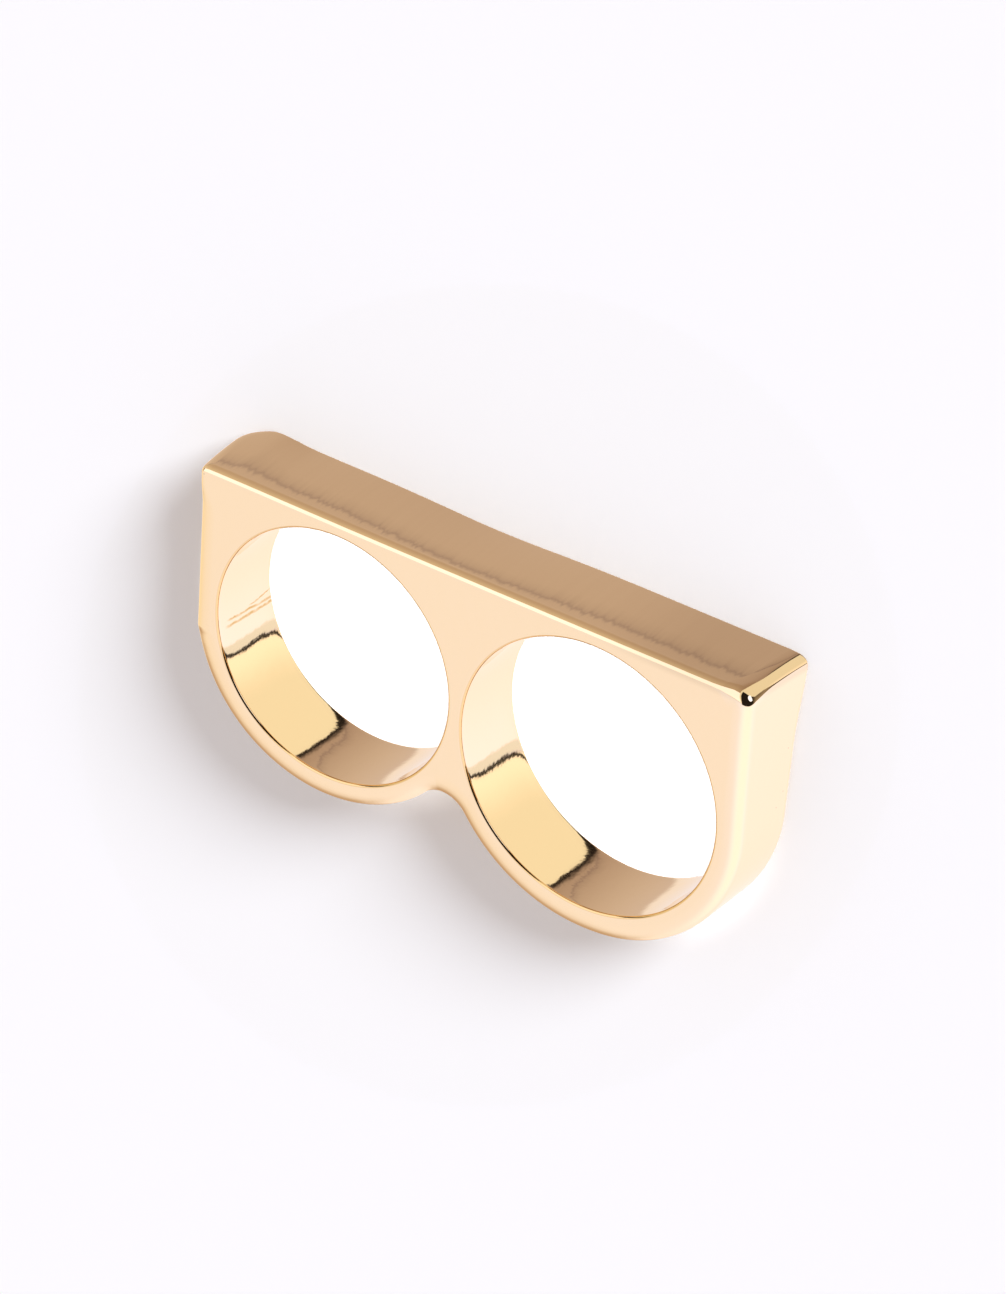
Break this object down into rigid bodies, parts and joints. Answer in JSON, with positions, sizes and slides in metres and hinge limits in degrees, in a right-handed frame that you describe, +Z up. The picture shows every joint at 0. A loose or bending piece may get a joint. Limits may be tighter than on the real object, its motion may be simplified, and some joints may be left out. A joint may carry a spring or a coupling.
{
  "type": "bar ring",
  "caption": "Polished cast ring: a long, gently domed bar with flat ends over side-by-side round finger bands, with a soft notch between the bands.",
  "frame": {"origin": "middle of the ring's footprint as it lies on its back face, at the height of the surface it lies on", "axes": "+X along the bar towards the larger finger hole, +Y towards the bar's domed top, +Z up out of the front face, along the finger holes"},
  "size_m": [0.0402, 0.0216, 0.0055],
  "materials": {
    "gold_plate": "mirror-polished pale gold plate"
  },
  "bodies": {
    "root": {"ring": "gold_plate"}
  },
  "joints": []
}
